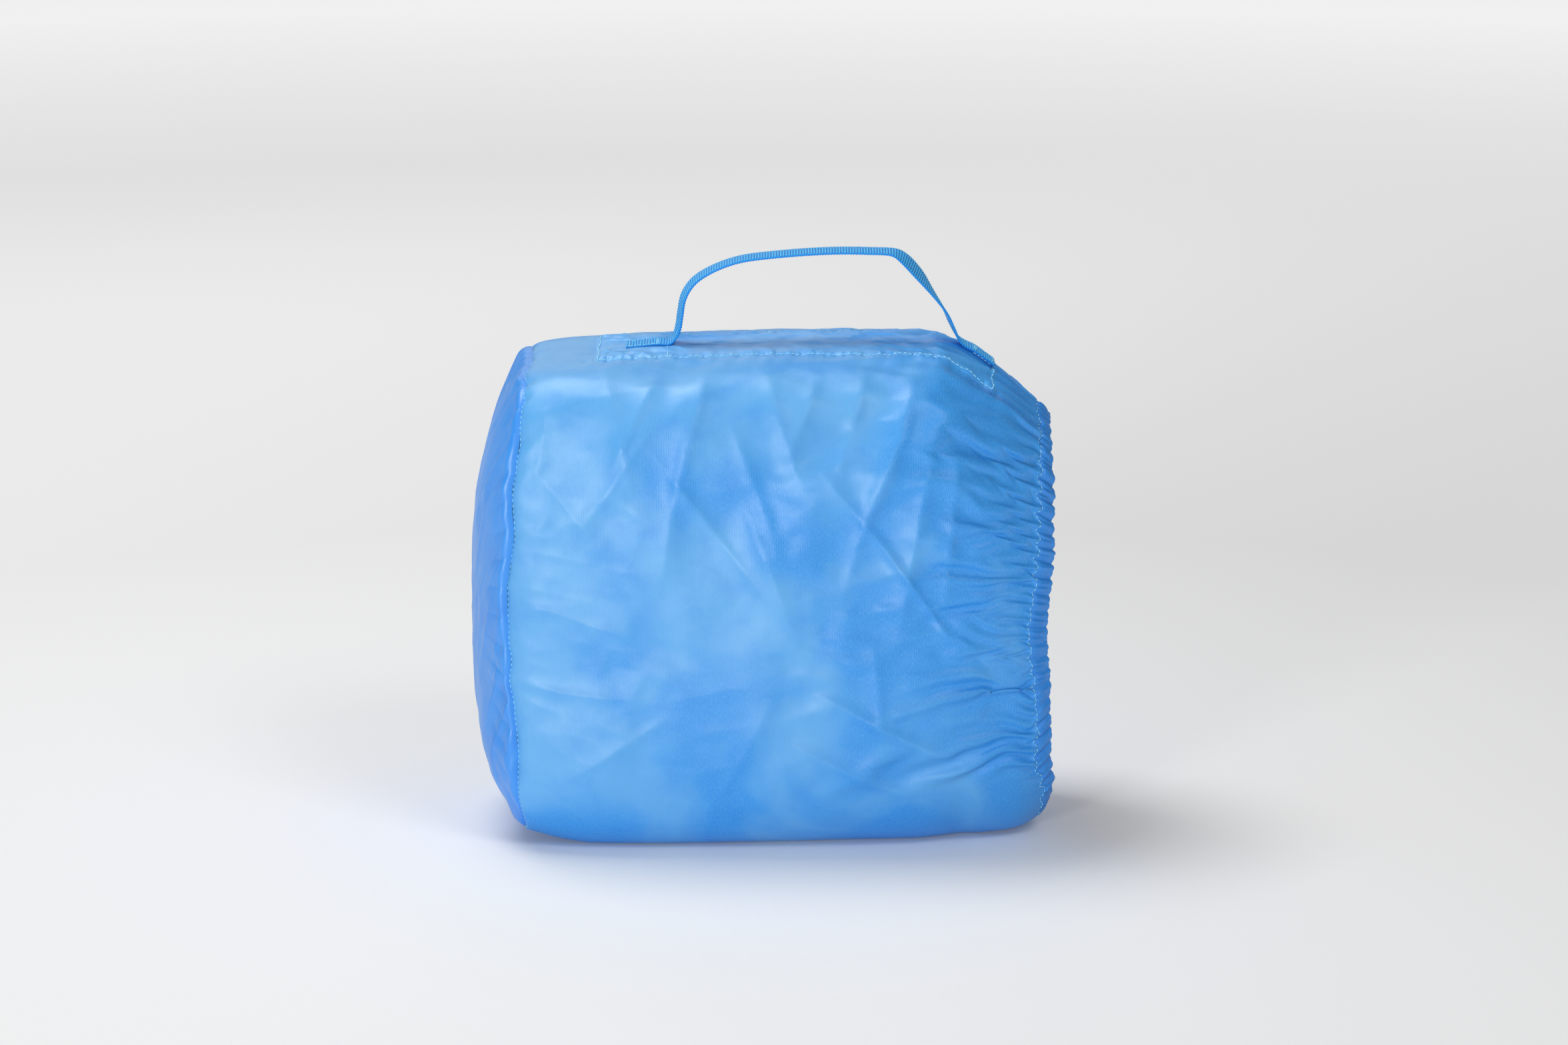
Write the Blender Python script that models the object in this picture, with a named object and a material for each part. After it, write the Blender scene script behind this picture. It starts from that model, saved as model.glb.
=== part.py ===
"""Elasticated fabric packing cube with a webbing carry handle.

A light taffeta bag, standing full. The closed end faces -X, the gathered
mouth faces +X, the front faces -Y, and the bag rests on z = 0. The origin is
the middle of the bag's footprint. Sizes in the tables are in millimetres and
are turned into metres where the meshes are made.
"""

import math

import bmesh
import bpy
from mathutils import Vector

MM = 0.001

# Driving dimensions, in millimetres.
SLEEVE_WALL = 1.0          # cloth walls, thicker than real taffeta so that they collide
TRIM_WALL = 0.8            # seam allowances and backing patches inside the bag
GAP = 0.4                  # air between neighbouring pieces
BACKING_GAP = 1.2          # more air where the wall slopes
RING_POINTS = 64           # points around one cross-section

SEAM_X = -134.5            # end seam at its corners
SEAM_BOW = 10.5            # how far the seam bows out between the corners
SEAM_TURN = 0.9            # room for the end panel's turned edge at the seam
SEAM_ALLOWANCE = (2.0, 10.0)  # where the turned-in cloth starts and ends, from the seam
SEAM_STITCH_INSET = 2.2
END_APEX = (-168.0, 124.0)  # x and z of the end panel's furthest point
DOME_POWER = 2.8           # how square the end panel's bulge is
MERGE_DISTANCE = 0.00001   # metres, to join the ring of points at the apex

CLOSING_SEAM_START_X = -118.0
CLOSING_SEAM_HALF_WIDTH = 5.0

SLEEVE_END_X = 135.6       # where the sleeve gives way to the stretching mouth
LIP_START_X = 136.6        # leaves the lips room to slide sideways past the sleeve's edge
HEM_START_X = 156.6
HEM_END_X = 167.6
HEM_DEPTH = 3.2            # thickness of the folded hem tunnel
HEM_WALL = 0.5
HEM_STITCH_INSET = 1.0
ELASTIC_MARGIN = 1.0       # from the tunnel's outside to the elastic band
LIP_SPLIT = 0.4            # half the slot between the front and back lips

STRIP_START_X = -95.0
STRIP_END_X = 134.2
STRIP_HALF_WIDTH = 38.0
STRIP_LIFT = 0.5
STRIP_WALL = 0.6
STRIP_STITCH_INSET = 2.4
STRIP_END_STITCH_INSET = 1.5  # at the mouth's end, where the strip is turned under

WEBBING_HALF_WIDTH = 10.0
WEBBING_THICKNESS = 1.3
TAB_STITCH_INSET = 2.5
TAB_STEPS = 6              # pieces along a flat tab
BACKING_MARGIN = 8.0       # how far a backing patch passes its tab
BACKING_END_X = SLEEVE_END_X - 3.0
TAB_LIFT = STRIP_LIFT + STRIP_WALL + GAP
THREAD_RADIUS = 0.35
THREAD_LIFT = THREAD_RADIUS + GAP

# Cross-section tables: (x, value) knots joined by a smooth curve.
HALF_DEPTH = [(-146, 82), (-110, 90), (-20, 95), (70, 94), (120, 88), (145, 76), (168, 61)]
TOP = [(-146, 267), (-134, 272), (-100, 276.5), (0, 281), (60, 282), (100, 281), (117, 278),
       (132, 270), (146, 256), (160, 241), (168, 235)]
BOTTOM = [(-146, 9), (-134, 6.5), (-115, 2.2), (-95, 0), (118, 0), (140, 2), (153, 5.5),
          (162, 12), (168, 21)]
SQUARENESS = [(-146, 3.6), (-60, 4.2), (90, 4.2), (130, 3.2), (168, 2.6)]
BOTTOM_DROP = 4.0          # how far the rounded outline would pass below the flat bottom

SLEEVE_STATIONS = [-130, -118, -106, -95, -75, -50, -20, 10, 40, 70, 90, 104, 114, 121, 127,
                   132, SLEEVE_END_X]
LIP_STATIONS = [LIP_START_X, 142, 149, HEM_START_X - GAP]
DOME_STEPS = [1.0, 0.96, 0.88, 0.76, 0.6, 0.4, 0.2]

# The webbing: flat tab, then a short upright root, then the loop.
HINGE_Z = 292.0
LEFT_TAB_ENDS = (-77.0, -57.0)
RIGHT_TAB_ENDS = (131.0, 116.0)
LEFT_ROOT = [(-53.0, 281.6), (-50.2, 284.6), (-49.0, 289.0), (-49.0, 296.0)]
RIGHT_ROOT = [(114.2, 281.2), (112.9, 284.6), (112.2, 289.0), (112.2, 296.0)]
LOOP_ROUTE = [(-47.0, 289.0), (-47.0, 298.0), (-44.4, 307.6), (-39.2, 316.0), (-29.6, 323.0),
              (-13.5, 329.0), (9.0, 332.4), (40.0, 334.4), (64.0, 334.0), (78.0, 332.6),
              (83.5, 329.0), (90.4, 321.0), (97.5, 311.6), (107.0, 299.6), (110.2, 295.5),
              (110.2, 289.0)]


def clear_scene():
    """Remove everything that the file opened with."""
    for old in list(bpy.data.objects):
        bpy.data.objects.remove(old, do_unlink=True)


def curve_through(knots, x):
    """Read a smooth curve through (x, value) knots at x, by cubic Hermite pieces."""
    last = len(knots) - 1
    x = min(max(x, knots[0][0]), knots[last][0])
    i = 0
    while i < last - 1 and x > knots[i + 1][0]:
        i += 1

    def slope(k):
        low = max(k - 1, 0)
        high = min(k + 1, last)
        return (knots[high][1] - knots[low][1]) / (knots[high][0] - knots[low][0])

    x0, y0 = knots[i]
    x1, y1 = knots[i + 1]
    span = x1 - x0
    t = (x - x0) / span
    rise = t * t * (3 - 2 * t)
    return (y0 + (y1 - y0) * rise
            + slope(i) * span * (t - 2 * t * t + t ** 3)
            + slope(i + 1) * span * (t ** 3 - t * t))


def section(x, theta, inset=0.0):
    """A point of the bag's outline at x; theta turns from +Y towards +Z."""
    floor = max(curve_through(BOTTOM, x), 0.0) + inset
    top = curve_through(TOP, x) - inset
    low = floor - BOTTOM_DROP
    half_depth = curve_through(HALF_DEPTH, x) - inset
    half_height = (top - low) / 2
    middle = (top + low) / 2
    power = curve_through(SQUARENESS, x)
    across = abs(math.cos(theta)) / half_depth
    up = abs(math.sin(theta)) / half_height
    radius = (across ** power + up ** power) ** (-1 / power)
    return Vector((x, radius * math.cos(theta), max(middle + radius * math.sin(theta), floor)))


def top_height(x, y, lift=0.0):
    """Height of the bag's upper surface at (x, y), raised by lift."""
    top = curve_through(TOP, x)
    low = max(curve_through(BOTTOM, x), 0.0) - BOTTOM_DROP
    half_height = (top - low) / 2
    power = curve_through(SQUARENESS, x)
    share = 1 - (abs(y) / curve_through(HALF_DEPTH, x)) ** power
    return (top + low) / 2 + half_height * share ** (1 / power) + lift


def seam_x(theta):
    """The end seam bows towards -X on the tall sides of the bag."""
    return SEAM_X - SEAM_BOW * math.cos(theta) ** 2


def ring_angles():
    """Angles around a whole cross-section, starting at the middle of the bottom."""
    step = 2 * math.pi / RING_POINTS
    return [-math.pi / 2 + step * i for i in range(RING_POINTS)]


def half_angles(side):
    """Angles from the bottom middle to the top middle, on the side of y with that sign."""
    count = RING_POINTS // 2
    step = math.pi / count
    return [-math.pi / 2 + side * step * i for i in range(count + 1)]


def fabric(name, colour, roughness):
    """A plain cloth or thread material."""
    material = bpy.data.materials.new(name)
    material.use_nodes = True
    shader = material.node_tree.nodes["Principled BSDF"]
    shader.inputs["Base Color"].default_value = (*colour, 1.0)
    shader.inputs["Roughness"].default_value = roughness
    shader.inputs["Metallic"].default_value = 0.0
    return material


def add_object(name, data, material):
    """Link a mesh or curve into the scene with its material."""
    data.materials.append(material)
    made = bpy.data.objects.new(name, data)
    bpy.context.scene.collection.objects.link(made)
    return made


def mesh_from_rings(name, rings, material, closed_ring, capped=False):
    """Join rings of points, in millimetres, into one surface of quads."""
    bm = bmesh.new()
    rows = [[bm.verts.new(point * MM) for point in ring] for ring in rings]
    count = len(rows[0])
    steps = count if closed_ring else count - 1
    for low, high in zip(rows, rows[1:]):
        for i in range(steps):
            j = (i + 1) % count
            bm.faces.new((low[i], low[j], high[j], high[i]))
    if capped:
        bm.faces.new(list(reversed(rows[0])))
        bm.faces.new(rows[-1])
    mesh = bpy.data.meshes.new(name)
    bm.to_mesh(mesh)
    bm.free()
    mesh.shade_smooth()
    return add_object(name, mesh, material)


def thicken(made, wall, offset):
    """Give a surface its wall: offset -1 grows it inwards, +1 outwards."""
    solid = made.modifiers.new("wall", "SOLIDIFY")
    solid.thickness = wall * MM
    solid.offset = offset
    solid.use_even_offset = True


def thread(name, points, material, cyclic):
    """A round thread through points given in millimetres."""
    curve = bpy.data.curves.new(name, "CURVE")
    curve.dimensions = "3D"
    curve.bevel_depth = THREAD_RADIUS * MM
    curve.bevel_resolution = 1
    curve.use_fill_caps = True
    spline = curve.splines.new("POLY")
    spline.points.add(len(points) - 1)
    for slot, point in zip(spline.points, points):
        slot.co = (*(point * MM), 1.0)
    spline.use_cyclic_u = cyclic
    return add_object(name, curve, material)


def ribbon(name, route, material):
    """Webbing that follows an (x, z) route, its width along Y."""
    rings = []
    for x, z in route:
        rings.append([Vector((x, -WEBBING_HALF_WIDTH, z)), Vector((x, WEBBING_HALF_WIDTH, z))])
    made = mesh_from_rings(name, rings, material, closed_ring=False)
    thicken(made, WEBBING_THICKNESS, 0.0)
    return made


def smooth_route(points, pieces):
    """Points on a Catmull-Rom curve through an (x, z) route."""
    route = []
    last = len(points) - 1
    for i in range(last):
        before = points[max(i - 1, 0)]
        after = points[min(i + 2, last)]
        for k in range(pieces):
            t = k / pieces
            weights = (-0.5 * t + t * t - 0.5 * t ** 3,
                       1 - 2.5 * t * t + 1.5 * t ** 3,
                       0.5 * t + 2 * t * t - 1.5 * t ** 3,
                       -0.5 * t * t + 0.5 * t ** 3)
            corners = (before, points[i], points[i + 1], after)
            route.append(tuple(sum(w * c[axis] for w, c in zip(weights, corners))
                               for axis in (0, 1)))
    route.append(points[last])
    return route


def make_sleeve(material):
    """The wrapped front, top, back and bottom of the bag, open at both ends."""
    angles = ring_angles()
    rings = [[section(seam_x(a) + GAP, a) for a in angles]]
    for x in SLEEVE_STATIONS:
        rings.append([section(x, a) for a in angles])
    made = mesh_from_rings("fabric_sleeve", rings, material, closed_ring=True)
    thicken(made, SLEEVE_WALL, -1.0)


def make_end_panel(material):
    """The closed end, bulging towards -X from the seam."""
    apex_x, apex_z = END_APEX
    rings = []
    for share in reversed(DOME_STEPS):
        ring = []
        for angle in ring_angles():
            edge = section(seam_x(angle), angle)
            fall = share ** DOME_POWER
            ring.append(Vector((apex_x + (edge.x - SEAM_TURN - apex_x) * fall,
                                edge.y * share,
                                apex_z + (edge.z - apex_z) * share)))
        rings.append(ring)
    bm_rings = [[Vector((apex_x, 0.0, apex_z))] * RING_POINTS] + rings
    made = mesh_from_rings("end_panel", bm_rings, material, closed_ring=True)
    bm = bmesh.new()
    bm.from_mesh(made.data)
    bmesh.ops.remove_doubles(bm, verts=bm.verts, dist=MERGE_DISTANCE)
    bm.to_mesh(made.data)
    bm.free()
    thicken(made, SLEEVE_WALL, -1.0)


def make_end_seam(cloth, stitch):
    """The seam allowance turned inside the bag, and the row of thread outside."""
    inset = SLEEVE_WALL + GAP
    angles = ring_angles()
    rings = [[section(seam_x(a) + reach, a, inset) for a in angles] for reach in SEAM_ALLOWANCE]
    made = mesh_from_rings("end_seam_allowance", rings, cloth, closed_ring=True)
    thicken(made, TRIM_WALL, -1.0)
    row = [section(seam_x(a) + SEAM_STITCH_INSET, a, -THREAD_LIFT) for a in angles]
    thread("end_seam_stitching", row, stitch, cyclic=True)


def make_closing_seam(material):
    """The sleeve's own long seam, lying flat inside the bottom."""
    lift = SLEEVE_WALL + GAP
    rings = []
    for x in stations_between(CLOSING_SEAM_START_X, SLEEVE_END_X):
        floor = max(curve_through(BOTTOM, x), 0.0) + lift
        rings.append([Vector((x, -CLOSING_SEAM_HALF_WIDTH, floor)),
                      Vector((x, CLOSING_SEAM_HALF_WIDTH, floor))])
    made = mesh_from_rings("closing_seam", rings, material, closed_ring=False)
    thicken(made, TRIM_WALL, -1.0)


def patch(name, stations, half_width, lift, wall, material):
    """A rectangle of cloth that follows the bag's upper surface."""
    columns = [-half_width * k / 4 for k in range(-4, 5)]
    rings = [[Vector((x, y, top_height(x, y, lift))) for y in columns] for x in stations]
    made = mesh_from_rings(name, rings, material, closed_ring=False)
    thicken(made, wall, 1.0)


def stations_between(low, high):
    """The sleeve's stations inside a span, with the span's own ends."""
    inner = [x for x in SLEEVE_STATIONS if low + 1 < x < high - 1]
    return [low] + inner + [high]


def make_reinforcement(cloth, stitch):
    """The strip that the handle is sewn to, with its frame of stitching."""
    patch("top_reinforcement", stations_between(STRIP_START_X, STRIP_END_X), STRIP_HALF_WIDTH,
          STRIP_LIFT, STRIP_WALL, cloth)
    low = STRIP_START_X + STRIP_STITCH_INSET
    high = STRIP_END_X - STRIP_END_STITCH_INSET
    edge = STRIP_HALF_WIDTH - STRIP_STITCH_INSET
    lift = STRIP_LIFT + STRIP_WALL + THREAD_LIFT
    along = stations_between(low, high)
    across = [edge * k / 4 for k in range(-3, 4)]
    corners = [(x, -edge) for x in along]
    corners += [(high, y) for y in across]
    corners += [(x, edge) for x in reversed(along)]
    corners += [(low, y) for y in reversed(across)]
    row = [Vector((x, y, top_height(x, y, lift))) for x, y in corners]
    thread("reinforcement_stitching", row, stitch, cyclic=True)


def make_tab(side, ends, root, webbing, stitch, cloth):
    """One sewn end of the handle: tab with its upright root, stitching and backing."""
    outer, inner = ends
    rise = TAB_LIFT + WEBBING_THICKNESS / 2
    flat = []
    for i in range(TAB_STEPS + 1):
        x = outer + (inner - outer) * i / TAB_STEPS
        flat.append((x, top_height(x, 0.0, rise)))
    route = flat + smooth_route(root, 2)
    if side == "right":
        route.reverse()
    ribbon("handle_tab_" + side, route, webbing)

    low = min(outer, inner) + TAB_STITCH_INSET
    high = max(outer, inner) - TAB_STITCH_INSET
    edge = WEBBING_HALF_WIDTH - TAB_STITCH_INSET
    middle = (low + high) / 2
    corners = [(low, -edge), (middle, -edge), (high, -edge),
               (high, edge), (middle, edge), (low, edge)]
    lift = TAB_LIFT + WEBBING_THICKNESS + THREAD_LIFT
    box = [Vector((x, y, top_height(x, y, lift))) for x, y in corners]
    thread("tab_stitching_" + side, box, stitch, cyclic=True)

    start = min(outer, inner) - BACKING_MARGIN
    end = min(max(outer, inner) + BACKING_MARGIN, BACKING_END_X)
    patch("backing_patch_" + side, stations_between(start, end),
          WEBBING_HALF_WIDTH + BACKING_MARGIN, -(SLEEVE_WALL + BACKING_GAP + TRIM_WALL),
          TRIM_WALL, cloth)


def make_handle(webbing):
    """The carrying loop, whose ends lie beside the two upright roots."""
    made = ribbon("handle_loop", smooth_route(LOOP_ROUTE, 3), webbing)
    hinge = bpy.data.objects.new("handle_hinge", None)
    hinge.location = Vector((0.0, 0.0, HINGE_Z)) * MM
    bpy.context.scene.collection.objects.link(hinge)
    made.parent = hinge
    made.matrix_parent_inverse.translation = -hinge.location


def split_clear(point, side):
    """Keep a lip's point on its own side of the slot between the lips."""
    y = side * max(side * point.y, LIP_SPLIT)
    return Vector((point.x, y, point.z))


def tunnel_ring(angle, shrink, side):
    """The hem's flat rectangular outline at one angle, shrunk on every side."""
    start = section(HEM_START_X, angle)
    along = (section(HEM_END_X, angle) - start).normalized()
    inwards = section(HEM_START_X, angle, 1.0) - start
    inwards = (inwards - along * inwards.dot(along)).normalized()
    near = start + along * shrink
    far = section(HEM_END_X, angle) - along * shrink
    top = inwards * shrink
    bottom = inwards * (HEM_DEPTH - shrink)
    return [split_clear(point, side) for point in (near + top, near + bottom,
                                                   far + bottom, far + top)]


def make_lip(word, side, cloth, hem, elastic, stitch):
    """One half of the gathered mouth: cloth, hem tunnel, elastic and stitching."""
    angles = half_angles(side)
    if side < 0:
        angles.reverse()
    rings = [[split_clear(section(x, a), side) for a in angles] for x in LIP_STATIONS]
    made = mesh_from_rings("mouth_gather_" + word, rings, cloth, closed_ring=False)
    thicken(made, SLEEVE_WALL, -1.0)

    outer = [tunnel_ring(a, 0.0, side) for a in angles]
    casing = mesh_from_rings("hem_casing_" + word, outer, hem, closed_ring=True)
    thicken(casing, HEM_WALL, -1.0)
    inner = [tunnel_ring(a, ELASTIC_MARGIN, side) for a in angles]
    mesh_from_rings("mouth_elastic_" + word, inner, elastic, closed_ring=True, capped=True)
    row = [split_clear(section(HEM_START_X + HEM_STITCH_INSET, a, -THREAD_LIFT), side) for a in angles]
    thread("hem_stitching_" + word, row, stitch, cyclic=False)


def main():
    clear_scene()
    sleeve_cloth = fabric("taffeta", (0.13, 0.42, 0.87), 0.42)
    hem_cloth = fabric("gathered_taffeta", (0.05, 0.27, 0.75), 0.42)
    inner_cloth = fabric("seam_cloth", (0.10, 0.34, 0.78), 0.5)
    webbing = fabric("ribbed_webbing", (0.05, 0.50, 0.85), 0.6)
    elastic = fabric("knit_elastic", (0.80, 0.82, 0.84), 0.7)
    stitch = fabric("sewing_thread", (0.22, 0.58, 0.88), 0.6)

    make_sleeve(sleeve_cloth)
    make_end_panel(sleeve_cloth)
    make_end_seam(inner_cloth, stitch)
    make_closing_seam(inner_cloth)
    make_reinforcement(sleeve_cloth, stitch)
    make_tab("left", LEFT_TAB_ENDS, LEFT_ROOT, webbing, stitch, inner_cloth)
    make_tab("right", RIGHT_TAB_ENDS, RIGHT_ROOT, webbing, stitch, inner_cloth)
    make_handle(webbing)
    for word, side in (("front", -1), ("back", 1)):
        make_lip(word, side, sleeve_cloth, hem_cloth, elastic, stitch)


main()
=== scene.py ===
"""Looks of the packing cube: thin blue taffeta, a gathered mouth and a ribbed webbing handle."""

import math

import bmesh
import bpy
import numpy as np
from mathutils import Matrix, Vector
from mathutils.geometry import delaunay_2d_cdt


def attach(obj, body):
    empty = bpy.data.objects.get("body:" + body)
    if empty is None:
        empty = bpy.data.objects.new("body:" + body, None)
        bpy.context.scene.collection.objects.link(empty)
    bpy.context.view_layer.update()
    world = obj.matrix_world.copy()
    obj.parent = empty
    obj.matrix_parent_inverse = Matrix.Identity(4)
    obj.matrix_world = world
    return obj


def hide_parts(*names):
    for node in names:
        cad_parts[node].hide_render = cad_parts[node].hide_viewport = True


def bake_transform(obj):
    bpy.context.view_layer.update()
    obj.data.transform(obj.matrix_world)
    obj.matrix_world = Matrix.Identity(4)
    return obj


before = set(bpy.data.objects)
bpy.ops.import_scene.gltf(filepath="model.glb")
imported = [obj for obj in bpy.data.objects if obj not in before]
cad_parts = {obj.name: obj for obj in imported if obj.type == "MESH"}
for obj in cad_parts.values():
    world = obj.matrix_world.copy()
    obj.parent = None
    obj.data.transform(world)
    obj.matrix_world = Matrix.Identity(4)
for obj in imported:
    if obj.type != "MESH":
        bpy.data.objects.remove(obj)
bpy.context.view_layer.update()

MM = 0.001

# The bag's outline: (x, value) knots in millimetres. It follows the CAD model's, but the closed
# end is a little flatter and the top falls away sooner towards the mouth.
SEAM_X = -134.5                       # the end seam at the corners
SEAM_BOW = 10.5                       # how far it bows out between them
END_APEX = (-166.0, 122.0)            # x and z of the closed end's middle
DOME_POWER = 3.2                      # how flat the closed end is
HEM_START = 156.6                     # the hem's stitching, before the gathers draw it back
HEM_WIDTH = 10.6
HEM_DEPTH = 3.0                       # between the tunnel's two faces
RIM_RADIUS = 1.3
HEM_SETBACK = 3.8                     # how far they draw it back on average
CORNER_FOLD_AT = 4.3                  # angle round the bag of the front's lower corner
HALF_DEPTH = [(-146, 82), (-110, 90), (-20, 95), (70, 94), (120, 88), (145, 76), (168, 61)]
TOP = [(-146, 267), (-134, 272.5), (-100, 277), (0, 280.4), (60, 281.4), (100, 280.4), (113, 275.6),
       (126, 268), (139, 261), (150, 252), (160, 243), (168, 237)]
BOTTOM = [(-146, 9), (-134, 6.5), (-115, 2.2), (-95, 0), (118, 0), (140, 2), (153, 5.5),
          (162, 12), (168, 21)]
SQUARENESS = [(-146, 4.6), (-80, 5.0), (-20, 4.5), (40, 3.9), (90, 3.6), (115, 3.0), (135, 2.6),
              (168, 2.4)]
BOTTOM_DROP = 4.0                     # the section's curve ends this far below its flat bottom
LOWER_CORNERS = 0.9                   # how much squarer the lower corners are by the mouth

# How finely the cloth is meshed.
COLUMNS = 640
SLEEVE_ROWS = 176
PANEL_ROWS = 54

HEM_LOBES = 62                        # bulges of cloth between the hem's pinches
BAND_REACH = (3.8, HEM_WIDTH - 2.0)   # the elastic, from the hem's stitching towards the rim
BAND_DEPTH = (-1.1, -2.0)             # its two faces, below the cloth
SLACK = 0.010                         # spare cloth across the folds of the body
SETTLE_STEPS = 600
MOMENTUM = 0.93                       # of the settling cloth, from step to step
FORCE_STEP = 0.16                     # how far a unit of force moves it in one step
BEND_STIFFNESS = 0.05
FOLD_CAP = 6.0                        # most that a fold may sink in while the cloth settles
FOLD_CAP_OUT = 8.4                    # and most that it may stand out
SEAM_FADE = 22.0                      # the body's folds fade out this near to the end seam
HEM_FADE = 30.0                       # and this near to the hem
SEAM_GROOVE = 3.4                     # how deep the sleeve turns in at the end seam
PANEL_GROOVE = 3.6                    # and how deep the closed end does

STRIP = (-95.0, 134.2, 38.0)          # low x, high x, half width
STITCH_INSET = 2.4                    # its stitching, in from its edge
CROSS_ROW = 42.0                      # the row across it, from its low end
STRIP_LIFT = 0.95                     # what lies on the strip is this far above the sleeve
WEBBING_WIDTH = 20.0
WEBBING_THICKNESS = 1.1
RIB_PITCH = 1.6
RIB_HEIGHT = 0.17


def hermite(xs, ys, slopes, x):
    """Read a smooth curve with given values and slopes at rising places xs."""
    i = np.clip(np.searchsorted(xs, x) - 1, 0, len(xs) - 2)
    span = xs[i + 1] - xs[i]
    t = (x - xs[i]) / span
    rise = t * t * (3 - 2 * t)
    return (ys[i] + (ys[i + 1] - ys[i]) * rise
            + slopes[i] * span * (t - 2 * t * t + t ** 3)
            + slopes[i + 1] * span * (t ** 3 - t * t))


def curve_through(knots, x):
    """Read a smooth curve through (x, value) knots at an array of x."""
    xs, ys = np.array(knots, float).T
    slopes = np.empty(len(xs))
    slopes[1:-1] = (ys[2:] - ys[:-2]) / (xs[2:] - xs[:-2])
    slopes[0] = (ys[1] - ys[0]) / (xs[1] - xs[0])
    slopes[-1] = (ys[-1] - ys[-2]) / (xs[-1] - xs[-2])
    return hermite(xs, ys, slopes, np.clip(x, xs[0], xs[-1]))


def run_length(points):
    """Distance along a line of points to each of them."""
    steps = np.linalg.norm(np.diff(points, axis=0), axis=1)
    return np.concatenate([[0.0], np.cumsum(steps)])


def section(x, theta):
    """Points of the bag's outline at x; theta turns from +Y towards +Z."""
    floor = np.maximum(curve_through(BOTTOM, x), 0.0)
    top = curve_through(TOP, x)
    low = floor - BOTTOM_DROP
    half_height = (top - low) / 2
    power = curve_through(SQUARENESS, x)
    by_mouth = smoothstep(-np.sin(theta), 0.2, 0.7) * smoothstep(x, 110, 150)
    power = power + LOWER_CORNERS * by_mouth
    across = np.abs(np.cos(theta)) / curve_through(HALF_DEPTH, x)
    up = np.abs(np.sin(theta)) / half_height
    radius = (across ** power + up ** power) ** (-1 / power)
    z = np.maximum((top + low) / 2 + radius * np.sin(theta), floor)
    return np.stack([x + 0 * theta, radius * np.cos(theta), z], axis=-1)


def smoothstep(x, low, high):
    t = np.clip((x - low) / (high - low), 0.0, 1.0)
    return t * t * (3 - 2 * t)


def noise(u, v, seed, wrap=None):
    """Smooth value noise on a unit lattice, from -1 to 1; wrap makes u repeat."""
    rng = np.random.default_rng(seed)
    size = 256
    table = rng.uniform(-1, 1, (size, size))
    iu = np.floor(u).astype(int)
    iv = np.floor(v).astype(int)
    fu = u - iu
    fv = v - iv
    fu = fu * fu * fu * (fu * (fu * 6 - 15) + 10)
    fv = fv * fv * fv * (fv * (fv * 6 - 15) + 10)
    period = wrap or size

    def at(a, b):
        return table[(a % period) % size, b % size]

    low = at(iu, iv) * (1 - fu) + at(iu + 1, iv) * fu
    high = at(iu, iv + 1) * (1 - fu) + at(iu + 1, iv + 1) * fu
    return low * (1 - fv) + high * fv


def ridges(u, v, seed, wrap=None):
    """Noise folded into sharp ridges, from 0 in the valleys to 1 on the crests."""
    return 1 - np.abs(noise(u, v, seed, wrap))


def grid_normals(points, wrap):
    """Outward normals of a (row, column) grid of points."""
    along = np.gradient(points, axis=0)
    if wrap:
        around = np.roll(points, -1, axis=1) - np.roll(points, 1, axis=1)
    else:
        around = np.gradient(points, axis=1)
    normal = np.cross(around, along)
    return normal / np.maximum(np.linalg.norm(normal, axis=-1, keepdims=True), 1e-9)


def add_object(name, data):
    """Put a mesh, a lamp or a camera into the scene."""
    made = bpy.data.objects.new(name, data)
    bpy.context.scene.collection.objects.link(made)
    return made


def cloth_map(across, along):
    """Pattern coordinates in metres, from distances across and along the cloth."""
    return np.stack(np.broadcast_arrays(across * MM, along * MM), axis=-1)


def grid_object(name, points, wrap, material, uv=None, normals=None):
    """A mesh of quads from a (row, column) grid in millimetres."""
    rows, columns = points.shape[:2]
    index = np.arange(rows * columns).reshape(rows, columns)
    right = np.roll(index, -1, axis=1) if wrap else index[:, 1:]
    left = index if wrap else index[:, :-1]
    quads = np.stack([left[:-1], right[:-1], right[1:], left[1:]], axis=-1).reshape(-1, 4)
    mesh = bpy.data.meshes.new(name)
    mesh.from_pydata((points.reshape(-1, 3) * MM).tolist(), [], quads.tolist())
    mesh.shade_smooth()
    if uv is not None:
        corner = np.empty(len(mesh.loops), int)
        mesh.loops.foreach_get("vertex_index", corner)
        layer = mesh.uv_layers.new(name="pattern")
        layer.data.foreach_set("uv", uv.reshape(-1, 2)[corner].astype(np.float32).ravel())
    if normals is not None:
        mesh.normals_split_custom_set_from_vertices(normals.reshape(-1, 3).tolist())
    mesh.materials.append(material)
    return add_object(name, mesh)


# ---------------------------------------------------------------- materials


def new_material(name):
    material = bpy.data.materials.new(name)
    material.use_nodes = True
    tree = material.node_tree
    return material, tree, tree.nodes["Principled BSDF"]


def node(tree, kind, **values):
    """Add a node and set its properties and, by socket name, its inputs."""
    made = tree.nodes.new(kind)
    for key, value in values.items():
        if hasattr(made, key):
            setattr(made, key, value)
        else:
            made.inputs[key.replace("_", " ")].default_value = value
    return made


def mix_colour(tree, factor, low, high):
    """Blend two colours, or a colour and a socket, by a factor socket."""
    made = tree.nodes.new("ShaderNodeMix")
    made.data_type = "RGBA"
    tree.links.new(factor, made.inputs["Factor"])
    for socket, value in ((made.inputs[6], low), (made.inputs[7], high)):
        if isinstance(value, tuple):
            socket.default_value = (*value, 1.0)
        else:
            tree.links.new(value, socket)
    return made.outputs[2]


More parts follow.
